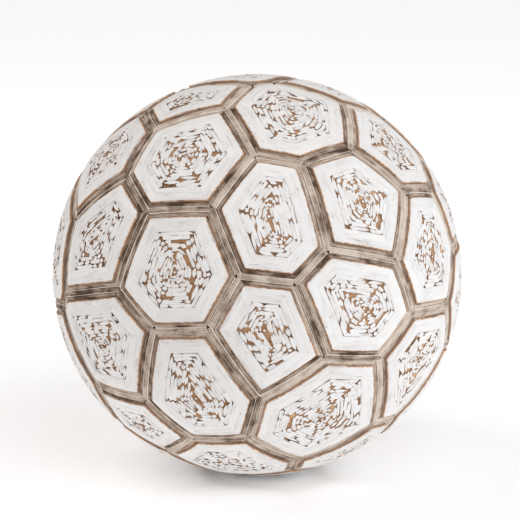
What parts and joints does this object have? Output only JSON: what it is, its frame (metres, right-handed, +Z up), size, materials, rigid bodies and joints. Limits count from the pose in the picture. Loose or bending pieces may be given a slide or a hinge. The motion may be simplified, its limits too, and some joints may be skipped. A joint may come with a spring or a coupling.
{
  "type": "decorative ball",
  "caption": "Decorative wooden ball covered with whitewashed mosaic panels, five- and six-sided, between grooves with raised weathered slats; stands on a small flat spot.",
  "frame": {"origin": "centre of the flat spot that the ball stands on", "axes": "+Z up through the middle of the ball; -Y towards the front, the side with the best-shown panels"},
  "size_m": [0.2996, 0.2998, 0.2925],
  "materials": {
    "whitewashed_wood": "matt white limewash over wood chips, worn through to brown at the edges and between the chips",
    "slat_wood": "weathered grey-brown wood with long dark grain, unsealed",
    "ground_wood": "weathered grey-brown wood with dark streaks, unsealed"
  },
  "bodies": {
    "root": {"wooden_ball": "ground_wood", "groove_slats": "slat_wood", "panel_01": "whitewashed_wood", "panel_02": "whitewashed_wood", "panel_03": "whitewashed_wood", "panel_04": "whitewashed_wood", "panel_05": "whitewashed_wood", "panel_06": "whitewashed_wood", "panel_07": "whitewashed_wood", "panel_08": "whitewashed_wood", "panel_09": "whitewashed_wood", "panel_10": "whitewashed_wood", "panel_11": "whitewashed_wood", "panel_12": "whitewashed_wood", "panel_13": "whitewashed_wood", "panel_14": "whitewashed_wood", "panel_15": "whitewashed_wood", "panel_16": "whitewashed_wood", "panel_17": "whitewashed_wood", "panel_18": "whitewashed_wood", "panel_19": "whitewashed_wood", "panel_20": "whitewashed_wood", "panel_21": "whitewashed_wood", "panel_22": "whitewashed_wood", "panel_23": "whitewashed_wood", "panel_24": "whitewashed_wood", "panel_25": "whitewashed_wood", "panel_foot": "whitewashed_wood", "panel_27": "whitewashed_wood", "panel_28": "whitewashed_wood", "panel_29": "whitewashed_wood", "panel_30": "whitewashed_wood", "panel_31": "whitewashed_wood", "panel_32": "whitewashed_wood", "panel_33": "whitewashed_wood", "panel_34": "whitewashed_wood", "panel_35": "whitewashed_wood", "panel_36": "whitewashed_wood", "panel_37": "whitewashed_wood", "panel_38": "whitewashed_wood", "panel_39": "whitewashed_wood", "panel_40": "whitewashed_wood", "panel_41": "whitewashed_wood", "panel_42": "whitewashed_wood", "panel_43": "whitewashed_wood", "panel_44": "whitewashed_wood", "panel_45": "whitewashed_wood", "panel_46": "whitewashed_wood"}
  },
  "joints": []
}
